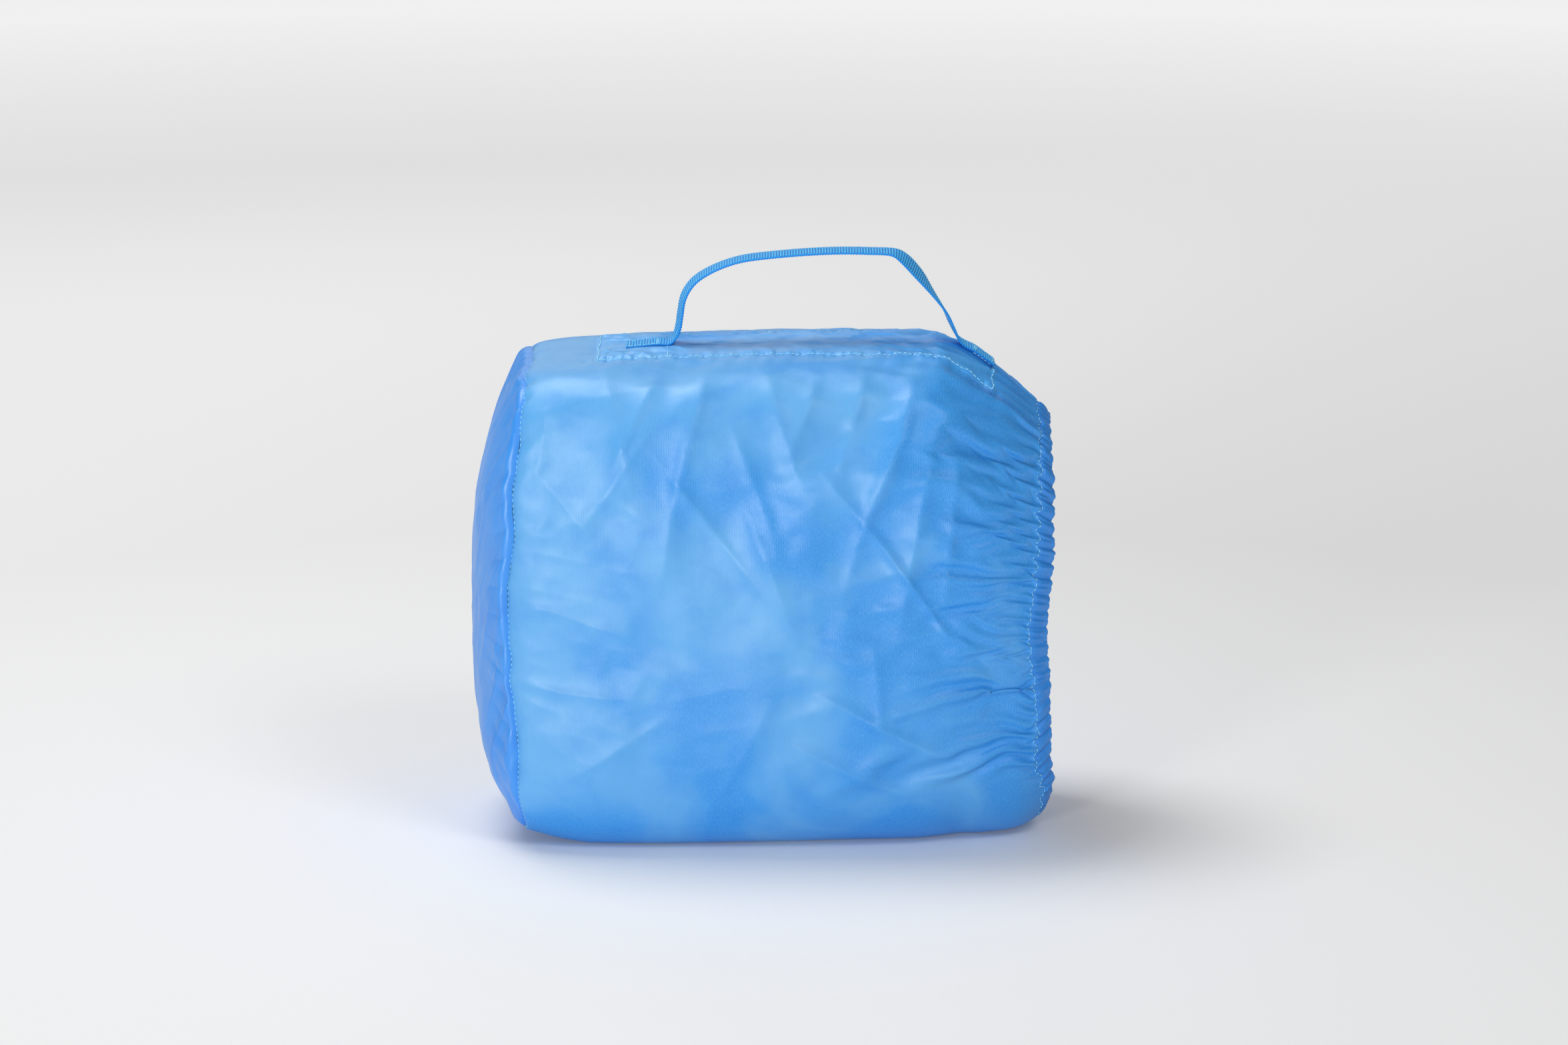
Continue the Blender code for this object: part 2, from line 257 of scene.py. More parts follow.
def ramp(tree, source, stops):
    """A black-to-white ramp through (position, value) stops."""
    made = tree.nodes.new("ShaderNodeValToRGB")
    made.color_ramp.interpolation = "EASE"
    elements = made.color_ramp.elements
    while len(elements) < len(stops):
        elements.new(0.5)
    for element, (place, value) in zip(elements, stops):
        element.position = place
        element.color = (value, value, value, 1.0)
    tree.links.new(source, made.inputs["Fac"])
    return made.outputs["Color"]


def texture(tree, kind, vector, **values):
    """A Noise or Wave texture on a vector socket; returns its factor."""
    made = node(tree, "ShaderNodeTex" + kind, **values)
    tree.links.new(vector, made.inputs["Vector"])
    return made.outputs["Fac"]


def combine(tree, operation, *values):
    """A math node on sockets and numbers."""
    made = node(tree, "ShaderNodeMath", operation=operation)
    for socket, value in zip(made.inputs, values):
        if isinstance(value, float):
            socket.default_value = value
        else:
            tree.links.new(value, socket)
    return made.outputs[0]


def split_vector(tree, vector):
    """The X, Y and Z of a vector socket."""
    parts = node(tree, "ShaderNodeSeparateXYZ")
    tree.links.new(vector, parts.inputs[0])
    return parts.outputs


def bump(tree, height, strength, distance):
    """A bump node on a height socket."""
    made = node(tree, "ShaderNodeBump", Strength=strength, Distance=distance)
    tree.links.new(height, made.inputs["Height"])
    return made


def cloth_places(tree):
    """The pattern coordinates and the object coordinates."""
    uv = node(tree, "ShaderNodeUVMap", uv_map="pattern").outputs["UV"]
    return uv, node(tree, "ShaderNodeTexCoord").outputs["Object"]


def taffeta(name, base, pale, deep, roughness=0.47, sheen=0.06):
    """Thin plain-woven polyester: fine threads, slub lines and creasing, with painted sheen: pale
    clouds in its colour stand in for the gloss of the lamps.
    """
    material, tree, shader = new_material(name)
    link = tree.links.new
    uv, place = cloth_places(tree)

    # Painted sheen: pale clouds mixed into the base colour stand in for the gloss of the lamps on
    # the cloth.
    painted_sheen_clouds = texture(tree, "Noise", place, Scale=13.0, Detail=3.0, Roughness=0.5, Distortion=0.5)
    parts = split_vector(tree, place)         # painted light: the clouds grow paler towards the closed end and the top, where the lamps fall
    painted_sheen_clouds = combine(tree, "MULTIPLY_ADD", parts["X"], -0.9, painted_sheen_clouds)
    painted_sheen_clouds = combine(tree, "MULTIPLY_ADD", parts["Z"], 0.35, painted_sheen_clouds)
    # Painted sheen: the clouds mix in the pale colour; the slubs and yarn below use it as real
    # paler threads.
    colour = mix_colour(tree, ramp(tree, painted_sheen_clouds, [(0.44, 0.0), (0.70, 1.0)]), base, pale)
    streaks = texture(tree, "Noise", place, Scale=60.0, Detail=4.0, Roughness=0.6)
    colour = mix_colour(tree, ramp(tree, streaks, [(0.4, 0.0), (0.8, 0.35)]), colour, deep)
    slub = texture(tree, "Wave", uv, wave_type="BANDS", bands_direction="Y", Scale=310.0,
                   Distortion=1.6, Detail=2.0)
    colour = mix_colour(tree, ramp(tree, slub, [(0.0, 0.0), (1.0, 0.22)]), colour, pale)
    stretched = node(tree, "ShaderNodeMapping")
    stretched.inputs["Scale"].default_value = (0.35, 1.0, 1.0)
    link(uv, stretched.inputs["Vector"])
    yarn = texture(tree, "Noise", stretched.outputs["Vector"], Scale=1500.0, Detail=1.0)
    colour = mix_colour(tree, ramp(tree, yarn, [(0.35, 0.0), (0.75, 0.4)]), colour, pale)
    link(colour, shader.inputs["Base Color"])

    warp = texture(tree, "Wave", uv, wave_type="BANDS", bands_direction="Y", Scale=330.0)
    fine = bump(tree, combine(tree, "ADD", warp, yarn), 0.3, 0.0001)
    crinkle = texture(tree, "Noise", place, Scale=150.0, Detail=5.0, Roughness=0.6)
    soft = bump(tree, crinkle, 0.25, 0.0005)
    link(fine.outputs["Normal"], soft.inputs["Normal"])
    link(soft.outputs["Normal"], shader.inputs["Normal"])

    rough = node(tree, "ShaderNodeMapRange", To_Min=roughness - 0.06, To_Max=roughness + 0.08)
    link(streaks, rough.inputs["Value"])
    link(rough.outputs["Result"], shader.inputs["Roughness"])
    shader.inputs["Sheen Weight"].default_value = sheen
    shader.inputs["Sheen Roughness"].default_value = 0.35
    shader.inputs["Sheen Tint"].default_value = (0.75, 0.88, 1.0, 1.0)
    shader.inputs["Specular IOR Level"].default_value = 0.85
    return material


def webbing_material():
    """Ribbed webbing: pale cyan ribs and darker blue valleys, painted light on the ribs and painted
    shade between them; dark selvedges and fuzz.
    """
    material, tree, shader = new_material("ribbed_webbing")
    link = tree.links.new
    uv, place = cloth_places(tree)
    parts = split_vector(tree, uv)
    turn = combine(tree, "MULTIPLY", parts["X"], 2 * math.pi / (RIB_PITCH * MM))
    half = node(tree, "ShaderNodeMapRange", From_Min=-1.0)
    link(combine(tree, "SINE", turn), half.inputs["Value"])
    # Painted light and shade: the ribs are coloured pale and the valleys between them dark.
    rib = ramp(tree, half.outputs["Result"], [(0.25, 0.0), (0.8, 1.0)])
    colour = mix_colour(tree, rib, (0.004, 0.20, 0.68), (0.07, 0.56, 0.93))
    yarn = texture(tree, "Noise", place, Scale=900.0, Detail=3.0)
    fuzz = ramp(tree, yarn, [(0.35, 0.0), (0.75, 0.4)])
    colour = mix_colour(tree, fuzz, colour, (0.06, 0.36, 0.80))
    edge = ramp(tree, parts["Y"], [(0.0, 1.0), (0.05, 0.0)])
    colour = mix_colour(tree, edge, colour, (0.01, 0.26, 0.76))
    link(colour, shader.inputs["Base Color"])
    link(bump(tree, yarn, 0.5, 0.0002).outputs["Normal"], shader.inputs["Normal"])
    shader.inputs["Roughness"].default_value = 0.55
    shader.inputs["Specular IOR Level"].default_value = 0.3
    return material


def thread_material(name, colour):
    """Twisted polyester thread."""
    material, tree, shader = new_material(name)
    place = node(tree, "ShaderNodeTexCoord").outputs["Object"]
    twist = texture(tree, "Noise", place, Scale=2500.0, Detail=2.0)
    pale = tuple(min(1.0, 1.25 * c + 0.05) for c in colour)
    shade = mix_colour(tree, ramp(tree, twist, [(0.3, 0.0), (0.7, 1.0)]), colour, pale)
    tree.links.new(shade, shader.inputs["Base Color"])
    shader.inputs["Roughness"].default_value = 0.5
    return material


def elastic_material():
    """Knitted narrow elastic."""
    material, tree, shader = new_material("knit_elastic")
    place = node(tree, "ShaderNodeTexCoord").outputs["Object"]
    knit = texture(tree, "Noise", place, Scale=700.0, Detail=2.0)
    shade = mix_colour(tree, knit, (0.62, 0.66, 0.70), (0.85, 0.87, 0.88))
    tree.links.new(shade, shader.inputs["Base Color"])
    tree.links.new(bump(tree, knit, 0.5, 0.0003).outputs["Normal"], shader.inputs["Normal"])
    shader.inputs["Roughness"].default_value = 0.7
    return material


# ---------------------------------------------------------------- the bag's cloth

THETA = -math.pi / 2 + 2 * math.pi * np.arange(COLUMNS) / COLUMNS
MIDDLE = section(np.full(COLUMNS, 0.0), THETA)
STEP = np.linalg.norm(np.roll(MIDDLE, -1, axis=0) - MIDDLE, axis=1)
ARC = np.concatenate([[0.0], np.cumsum(STEP)[:-1]])   # distance round the bag from the bottom
GIRTH = STEP.sum()


def arc_at(theta):
    """Distance round the bag at theta, in millimetres."""
    turn = (theta + math.pi / 2) / (2 * math.pi) % 1.0 * COLUMNS
    return np.interp(turn, np.arange(COLUMNS + 1), np.append(ARC, GIRTH))


def ring_noise(arc, count, seed, level=0.5):
    """Smooth noise round the bag, count cells to the girth; level picks a row of it."""
    return noise(arc / GIRTH * count, 0 * arc + level, seed, count)


def seam_line(theta):
    """x of the end seam, which bows out between the corners and wavers with its puckers."""
    arc = arc_at(theta)
    waver = 2.0 * ring_noise(arc, 26, 11) + 1.2 * ring_noise(arc, 60, 12)
    return SEAM_X - SEAM_BOW * np.cos(theta) ** 2 + waver


def hem_line(theta):
    """x of the hem's stitching, which wavers where the gathers pull on it."""
    arc = arc_at(theta)
    waver = 2.0 * ring_noise(arc, 24, 21) + 0.8 * ring_noise(arc, 110, 22)
    swell = 0.5 + 0.8 * ring_noise(arc, 40, 23)
    bulges = pleats(arc, HEM_LOBES, 32, 4.5 * swell)
    corners = 5.0 * np.sin(theta) ** 2 + 2.6 * np.sin(2 * theta) ** 2 + corner_fold(theta)
    return HEM_START - HEM_SETBACK + corners + waver + bulges


def corner_fold(theta):
    """How far the hem stands out where the cloth folds at the front's lower corner."""
    return 1.6 * np.exp(-(((theta % (2 * math.pi)) - CORNER_FOLD_AT) / 0.25) ** 2)


def crumple(u, v, size, stretch, seed, height):
    """Flat facets of random tilt that meet at creases; u repeats every GIRTH."""
    rng = np.random.default_rng(seed)
    low, high = -160.0, 175.0
    spots = []
    heights = []
    count_u = max(4, round(GIRTH / size))
    for i in range(count_u):
        for k in range(round((high - low) / (size * stretch)) + 1):
            at_u = (i + rng.uniform(0.1, 0.9)) * GIRTH / count_u
            at_v = low + (k + rng.uniform(0.1, 0.9)) * size * stretch
            tall = rng.uniform(-height, height)
            for shift in (-GIRTH, 0.0, GIRTH):
                if -80 < at_u + shift < GIRTH + 80:
                    spots.append((at_u + shift, at_v))
                    heights.append(tall)
    result = delaunay_2d_cdt([Vector(spot) for spot in spots], [], [], 0, 1e-6)
    places = np.array([tuple(vert) for vert in result[0]])
    tall = np.array([heights[origin[0]] for origin in result[3]])
    total = np.zeros(u.shape)
    for a, b, c in result[2]:
        corner = places[[a, b, c]]
        box = ((u >= corner[:, 0].min()) & (u <= corner[:, 0].max())
               & (v >= corner[:, 1].min()) & (v <= corner[:, 1].max()))
        pu = u[box] - corner[0, 0]
        pv = v[box] - corner[0, 1]
        (bu, bv), (cu, cv) = corner[1] - corner[0], corner[2] - corner[0]
        area = bu * cv - bv * cu
        wb = (pu * cv - pv * cu) / area
        wc = (pv * bu - pu * bv) / area
        inside = (wb >= -1e-9) & (wc >= -1e-9) & (wb + wc <= 1 + 1e-9)
        value = tall[a] + wb * (tall[b] - tall[a]) + wc * (tall[c] - tall[a])
        part = total[box]
        part[inside] = value[inside]
        total[box] = part
    return total


def soften(grid, passes):
    """Round off a grid's creases a little; columns wrap."""
    for _ in range(passes):
        grid = (np.roll(grid, 1, 1) + 2 * grid + np.roll(grid, -1, 1)) / 4
        inner = (grid[:-2] + 2 * grid[1:-1] + grid[2:]) / 4
        grid = np.concatenate([grid[:1], inner, grid[-1:]])
    return grid


# Sizes of the flat facets between the cloth's creases: whether they lean, size and length to
# width, seed, height and how many times they are softened.
FACETS = [("leaning", 66.0, 0.5, 58, 3.8, 4), ("straight", 30.0, 0.6, 59, 1.2, 2),
          ("straight", 17.0, 0.75, 60, 0.42, 1)]


def facets(x, theta):
    """The crisp, angular crumpling of thin taffeta."""
    arc = arc_at(theta)
    turned = arc + 12 * noise(arc / GIRTH * 12, (x + 300) / 40, 57, 12)
    leaning = x + 21 * noise(arc / GIRTH * 6, x / 400 + 3, 50, 6)
    total = 0
    for along, size, stretch, seed, height, passes in FACETS:
        place = leaning if along == "leaning" else x
        total = total + soften(crumple(turned, place, size, stretch, seed, height), passes)
    return total


def lobes(arc, count, seed):
    """Rounded folds with sharp valleys between, count of them round the bag, unevenly spaced."""
    turn = arc / GIRTH * count
    turn = turn + 0.6 * ring_noise(arc, round(count / 2.5), seed)
    return np.abs(np.sin(math.pi * turn)) ** 0.8


def pleats(arc, count, seed, height, level=0.6):
    """Lobes of a given height, set down by their mean level."""
    return height * (lobes(arc, count, seed) - level)


def gathers(x, theta):
    """Height of the pleats that run back from the hem, finer nearer to it."""
    arc = arc_at(theta)
    reach = hem_line(theta) - x           # distance back from the hem's stitching
    patchy = 0.75 + 0.35 * ring_noise(arc, 22, 31, 0.3)
    fine = pleats(arc, HEM_LOBES, 32, 2.1) * np.exp(-reach / 9.0)
    fine = fine + pleats(arc, 2 * HEM_LOBES, 36, 0.35) * np.exp(-reach / 3.0)
    slanted = pleats(arc + 0.3 * reach, 88, 37, 0.7, 0.7) * smoothstep(reach, 1, 5)
    fine = fine + slanted * np.exp(-reach / 12.0)
    middle_reach = 22.0 + 14.0 * ring_noise(arc, 30, 33, 0.7)
    middle = pleats(arc + 0.10 * reach, 52, 34, 1.9) * smoothstep(reach, -2, 7)
    middle = middle * np.exp(-reach / middle_reach)
    broad = pleats(arc - 0.06 * reach, 23, 35, 2.4) * smoothstep(reach, 3, 22)
    broad = broad * np.exp(-np.maximum(reach - 10, 0) / 30.0)
    return patchy * (fine + middle + broad)


def puckers(x, theta):
    """Small pinches along the end seam, where the cloth turns in."""
    arc = arc_at(theta)
    reach = x - seam_line(theta)
    turn_in = -SEAM_GROOVE * np.exp(-reach / 1.1)
    pinch = pleats(arc, 110, 41, 0.6) * np.exp(-reach / 4.0)
    pinch += pleats(arc + 0.25 * reach, 47, 42, 0.7) * np.exp(-reach / 11.0)
    return turn_in + pinch * smoothstep(reach, 0, 2.0)


def crease(u, v, start, end, width, height):
    """A soft ridge along a line in the (x, arc) plane, tapering at its ends."""
    du = end[0] - start[0]
    dv = end[1] - start[1]
    length = math.hypot(du, dv)
    along = ((u - start[0]) * du + (v - start[1]) * dv) / length
    away = ((u - start[0]) * dv - (v - start[1]) * du) / length
    taper = smoothstep(along, -0.08 * length, 0.3 * length)
    taper = taper * (1 - smoothstep(along, 0.7 * length, 1.08 * length))
    return height * taper * np.exp(-np.abs(away / (0.6 * width)) ** 1.2)


# Creases that show on the front, as (x, height) ends in millimetres, width and height.
FRONT_CREASES = [
    ((-52, 262), (-100, 196), 7, 1.0), ((-40, 260), (-58, 150), 9, 1.2),
    ((-20, 262), (10, 178), 8, 1.0), ((-62, 238), (6, 148), 6, 0.9),
    ((-12, 214), (18, 132), 7, 0.9), ((88, 262), (52, 176), 8, 1.2),
    ((100, 256), (78, 128), 9, 1.5), ((112, 250), (104, 140), 8, 1.3),
    ((70, 232), (46, 150), 7, 1.0), ((34, 226), (92, 150), 5, 0.8),
    ((60, 196), (112, 120), 4, 1.0), ((-128, 232), (-84, 176), 8, 0.8),
    ((-132, 150), (-70, 128), 7, 0.8), ((-136, 96), (-66, 92), 7, 0.8),
    ((-118, 36), (-50, 84), 9, 1.1), ((-30, 22), (10, 98), 9, 1.0),
    ((34, 96), (120, 42), 9, 1.3), ((12, 70), (96, 20), 8, 1.1),
    ((64, 122), (70, 58), 7, 1.0), ((128, 96), (62, 78), 6, 0.9),
    ((-118, 276), (-128, 215), 9, 1.0), ((-88, 278), (-72, 214), 10, 1.2),
    ((-56, 279), (-86, 224), 9, 1.4), ((-30, 279), (-46, 215), 9, 1.3),
    ((2, 279), (24, 212), 10, 1.3), ((34, 279), (14, 226), 8, 1.1),
    ((60, 279), (42, 216), 9, 1.3), ((88, 278), (66, 208), 9, 1.4),
]


def front_creases(x, theta):
    """The creases of the front, and seeded ones in the same style on the other sides."""
    arc = arc_at(theta)
    heights = np.interp(arc, ARC, MIDDLE[:, 2])
    front = smoothstep(-np.cos(theta), 0.15, 0.5)
    total = np.zeros(np.broadcast(x, theta).shape)
    for start, end, width, height in FRONT_CREASES:
        total = total + front * crease(x, heights, start, end, width, height)
    rng = np.random.default_rng(7)
    back = smoothstep(np.cos(theta), 0.15, 0.5)
    for _ in range(22):
        start = rng.uniform((-130, 20), (130, 260))
        end = start + rng.uniform((-60, -110), (60, -40))
        width, height = rng.uniform((5, 0.7), (10, 1.4))
        total = total + back * crease(x, heights, start, end, width, height)
    return total


def undulation(x, theta):
    """Broad slackness of the cloth, and small crumpling."""
    arc = arc_at(theta)
    total = 1.5 * noise(arc / GIRTH * 10, (x + 300) / 78, 51, 10)
    total = total + 0.8 * noise(arc / GIRTH * 22 + 0.004 * x, (x + 300) / 34, 52, 22)
    total = total + 0.7 * (ridges(arc / GIRTH * 36 + 0.01 * x, (x + 300) / 46, 53, 36) - 0.6)
    return total + 0.3 * (ridges(arc / GIRTH * 70 - 0.02 * x, (x + 300) / 22, 54, 70) - 0.6)


def strip_puckers(x, theta):
    """Pinching of the top along the strip's long rows of stitching."""
    base = section(x, theta)
    low, high, half = STRIP
    inside = smoothstep(x, low - 14, low) * (1 - smoothstep(x, high - 2, high + 8))
    upper = smoothstep(np.sin(theta), 0.3, 0.6)
    gap = np.abs(np.abs(base[..., 1]) - (half - STITCH_INSET))
    pinch = pleats(x + 300, 150, 61, 1.1, 0.7) * np.exp(-np.abs(gap / 5.0) ** 1.5)
    pinch = pinch + pleats(x + 0.3 * gap + 300, 64, 63, 1.2, 0.7) * np.exp(-gap / 11.0)
    gap_end = np.abs(x - (low + STITCH_INSET))
    across = smoothstep(-np.abs(base[..., 1]), -half, -half + 6)
    pinch_end = pleats(base[..., 1] + 300, 110, 62, 0.6, 0.7) * np.exp(-(gap_end / 6.0) ** 2)
    groove = -0.5 * np.exp(-(gap / 1.5) ** 2)
    return upper * (inside * (pinch + groove) + across * pinch_end)


def calm(x, theta):
    """How slack the cloth may be: tight at the seams, flat where the bag stands."""
    standing = smoothstep(-np.sin(theta), 0.72, 0.9)
    low, high, half = STRIP
    base = section(x, theta)
    strip = smoothstep(-np.abs(base[..., 1]), -half - 10, -half + 4)
    top = smoothstep(np.sin(theta), 0.84, 0.96)
    return (1 - 0.85 * standing) * (1 - top * (0.6 + 0.2 * strip))


# The crests where the handle lifts the top: x, height, reach along and reach across the bag.
HANDLE_CRESTS = [(121.0, 4.6, 18.0, 17.0), (-58.0, 1.2, 16.0, 20.0)]


def handle_pull(x, theta):
    """Height of the crests under the handle's two ends."""
    y = section(x, theta)[..., 1]
    total = 0
    for middle, height, reach_x, reach_y in HANDLE_CRESTS:
        total = total + height * np.exp(-((x - middle) / reach_x) ** 2 - (y / reach_y) ** 2)
    return smoothstep(np.sin(theta), 0.5, 0.8) * total


def fold_directions(x, theta):
    """Which way the folds run, as an angle from +X in the plane of the unrolled cloth."""
    arc = arc_at(theta)
    heights = np.interp(arc, ARC, MIDDLE[:, 2])
    rising = np.where(np.cos(theta) > 0, 1.0, -1.0)   # arc runs up the back, down the front
    total = np.zeros(x.shape + (2,))
    for pull_x in (-52.0, 112.0):                # folds fan out below the handle's two ends
        dx = x - pull_x
        dz = heights - 285.0
        near = np.exp(-np.hypot(dx, dz) / 120.0)
        angle = np.arctan2(dz * rising, dx)
        total[..., 0] += near * np.cos(2 * angle)
        total[..., 1] += near * np.sin(2 * angle)
    wander = 2 * math.pi * noise(arc / GIRTH * 8, (x + 300) / 95, 55, 8)
    total[..., 0] += 0.22 * np.cos(wander)
    total[..., 1] += 0.22 * np.sin(wander)
    return 0.5 * np.arctan2(total[..., 1], total[..., 0])


def spring_field(base, x, theta, girth_cut, slack):
    """Every thread's cut length: list of (row step, column step, lengths, stiffness)."""
    level = np.median(x, axis=1)[:, None] + 0 * x
    outline = section(level, theta)
    ring = np.linalg.norm(np.roll(outline, -1, axis=1) - outline, axis=-1).sum(axis=1)
    gathered = np.maximum(girth_cut / ring - 1.0, 0.0)[:, None]
    ahead = np.roll(outline, -1, axis=1) - np.roll(outline, 1, axis=1)
    ahead = ahead / np.linalg.norm(ahead, axis=-1, keepdims=True)
    closed_end = smoothstep(x, SEAM_X + 30, SEAM_X - 5)
    gathered = np.where(x < 0, np.minimum(gathered, 0.018 * closed_end), gathered)
    folds = fold_directions(x, theta)
    springs = []
    for down, across, stiffness in ((0, 1, 1.0), (1, 0, 1.0), (1, 1, 0.35), (1, -1, 0.35)):
        rows = base.shape[0] - down
        step = np.roll(base, -across, axis=1)[down:] - base[:rows]
        length = np.linalg.norm(step, axis=-1)
        around = (step * ahead[:rows]).sum(-1)
        along = np.sqrt(np.maximum(length ** 2 - around ** 2, 0)) * np.sign(step[..., 0])
        turn = np.arctan2(around, along)
        strain = slack[:rows] * np.sin(folds[:rows] - turn) ** 2
        strain = strain + gathered[:rows] * np.sin(turn) ** 2
        springs.append((down, across, length * (1 + strain), stiffness))
    return springs


def settle(start, base, normal, springs, hold):
    """Relax the cloth: threads keep their cut lengths, folds resist bending, filling pushes back.

    The first and last rows are sewn and stay; hold is how firmly the filling backs each point.
    """
    points = start.astype(np.float32)
    before = points.copy()
    base32 = base.astype(np.float32)
    normal32 = normal.astype(np.float32)
    curve0 = np.roll(base32, 1, 1) - 2 * base32 + np.roll(base32, -1, 1)
    curve0_along = base32[:-2] - 2 * base32[1:-1] + base32[2:]
    springs = [(d, a, r.astype(np.float32), np.float32(k)) for d, a, r, k in springs]
    for _ in range(SETTLE_STEPS):
        force = np.zeros_like(points)
        for down, across, rest, stiffness in springs:
            rows = points.shape[0] - down
            far = np.roll(points, -across, axis=1)[down:] if across else points[down:]
            step = far - points[:rows]
            length = np.sqrt(np.einsum("ijk,ijk->ij", step, step)) + np.float32(1e-6)
            pull = step * (stiffness * (1 - rest / length))[..., None]
            force[:rows] += pull
            force[down:] -= np.roll(pull, across, axis=1) if across else pull
        curve = np.roll(points, 1, 1) - 2 * points + np.roll(points, -1, 1) - curve0
        force += BEND_STIFFNESS * (2 * curve - np.roll(curve, 1, 1) - np.roll(curve, -1, 1))
        curve = points[:-2] - 2 * points[1:-1] + points[2:] - curve0_along
        force[1:-1] += 2 * BEND_STIFFNESS * curve
        force[:-2] -= BEND_STIFFNESS * curve
        force[2:] -= BEND_STIFFNESS * curve
        away = np.einsum("ijk,ijk->ij", points - base32, normal32)
        force -= normal32 * (hold * away)[..., None]
        moved = points + MOMENTUM * (points - before) + FORCE_STEP * force
        moved[0] = points[0]
        moved[-1] = points[-1]
        before = points
        points = moved
    return points.astype(float)


class Cloth:
    """The sleeve as a grid of points in millimetres, which sewn pieces are laid on."""

    def __init__(self):
        spread = np.linspace(0, 1, SLEEVE_ROWS)
        self.share = spread - 0.055 * np.sin(2 * math.pi * spread)   # closer rows at both ends
        theta = THETA[None, :] + 0 * self.share[:, None]
        low = seam_line(theta)
        high = hem_line(theta)
        x = low + (high - low) * self.share[:, None]
        self.x = x
        self.theta = theta
        base = section(x, theta)
        normal = grid_normals(base, wrap=True)
        edge = smoothstep(x - low, 0, SEAM_FADE) * smoothstep(high - x, 0, HEM_FADE)
        quiet = calm(x, theta)
        filled = base + normal * (quiet * edge * undulation(x, theta))[..., None]
        folds = quiet * edge * (1.9 * front_creases(x, theta) + facets(x, theta))
        filled = filled + normal * (0.8 * folds + handle_pull(x, theta))[..., None]
        height = gathers(x, theta) * (1 - 0.12 * handle_pull(x, theta))
        height = height + puckers(x, theta) + 0.5 * folds
        points = filled + normal * height[..., None]
        patchy = 0.7 + 0.9 * noise(arc_at(theta) / GIRTH * 9, (x + 300) / 60, 56, 9)
        slack = SLACK * np.clip(patchy, 0.1, 2.0) * quiet
        springs = spring_field(filled, x, theta, GIRTH * 1.005, slack)
        near_hem = smoothstep(x, 118, 150)
        hold = 0.0015 + 0.02 * near_hem + 0.6 * smoothstep(-np.sin(theta), 0.75, 0.95)
        points = settle(points, filled, normal, springs, hold.astype(np.float32))
        away = ((points - filled) * normal).sum(-1)
        capped = np.clip(away, -FOLD_CAP, FOLD_CAP_OUT)
        points = points + normal * (capped - away)[..., None]
        points = points + normal * strip_puckers(x, theta)[..., None]
        points[..., 2] = np.maximum(points[..., 2], 0.0)
        self.points = points
        self.normals = grid_normals(points, wrap=True)

    def rows_of(self, x, theta):
        """Fractional row of each x at theta."""
        low = seam_line(theta)
        high = hem_line(theta)
        return np.interp((x - low) / (high - low), self.share, np.arange(SLEEVE_ROWS))

    def at(self, x, theta, lift=0.0):
        """Points of the cloth at (x, theta), raised along its normal by lift."""
        row = np.clip(self.rows_of(x, theta), 0, SLEEVE_ROWS - 1.001)
        column = ((theta + math.pi / 2) / (2 * math.pi) % 1.0) * COLUMNS
        r = row.astype(int)
        c = column.astype(int) % COLUMNS
        fr = (row - r)[..., None]
        fc = (column - np.floor(column))[..., None]
        right = (c + 1) % COLUMNS

        def blend(grid):
            low = grid[r, c] * (1 - fc) + grid[r, right] * fc
            high = grid[r + 1, c] * (1 - fc) + grid[r + 1, right] * fc
            return low * (1 - fr) + high * fr

        normal = blend(self.normals)
        return blend(self.points) + normal * np.asarray(lift)[..., None]


def theta_on_top(x, y):
    """The angle round the bag of a point on its top at (x, y)."""
    low = np.maximum(curve_through(BOTTOM, x), 0.0) - BOTTOM_DROP
    half_height = (curve_through(TOP, x) - low) / 2
    power = curve_through(SQUARENESS, x)
    share = 1 - np.abs(y / curve_through(HALF_DEPTH, x)) ** power
    return np.arctan2(half_height * share ** (1 / power), y)


def sew(piece, replaced):
    """Fix a piece to the bag and in place of its CAD node."""
    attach(piece, "bag")
    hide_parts(replaced)


def halves(points):
    """Split a grid that goes round the bag into its back and front halves."""
    half = COLUMNS // 2
    front = np.concatenate([points[:, half:], points[:, :1]], axis=1)
    return {"back": points[:, :half + 1], "front": front}


def give_with_mouth(piece):
    """Bake a piece's placement into its mesh."""
    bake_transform(piece)


def make_sleeve(cloth, material):
    """The wrapped sleeve with its gathered mouth, as a front and a back half."""
    uv = cloth_map(arc_at(cloth.theta), cloth.x + 300)
    points = halves(cloth.points)
    normals = halves(cloth.normals)
    maps = halves(uv)
    maps["front"] = maps["front"].copy()
    maps["front"][:, -1, 0] = GIRTH * MM
    for word in ("front", "back"):
        piece = grid_object("sleeve_" + word, points[word], False, material, maps[word],
                            normals[word])
        give_with_mouth(piece)
        names = ["mouth_gather_" + word] + (["fabric_sleeve"] if word == "front" else [])
        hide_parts(*names)


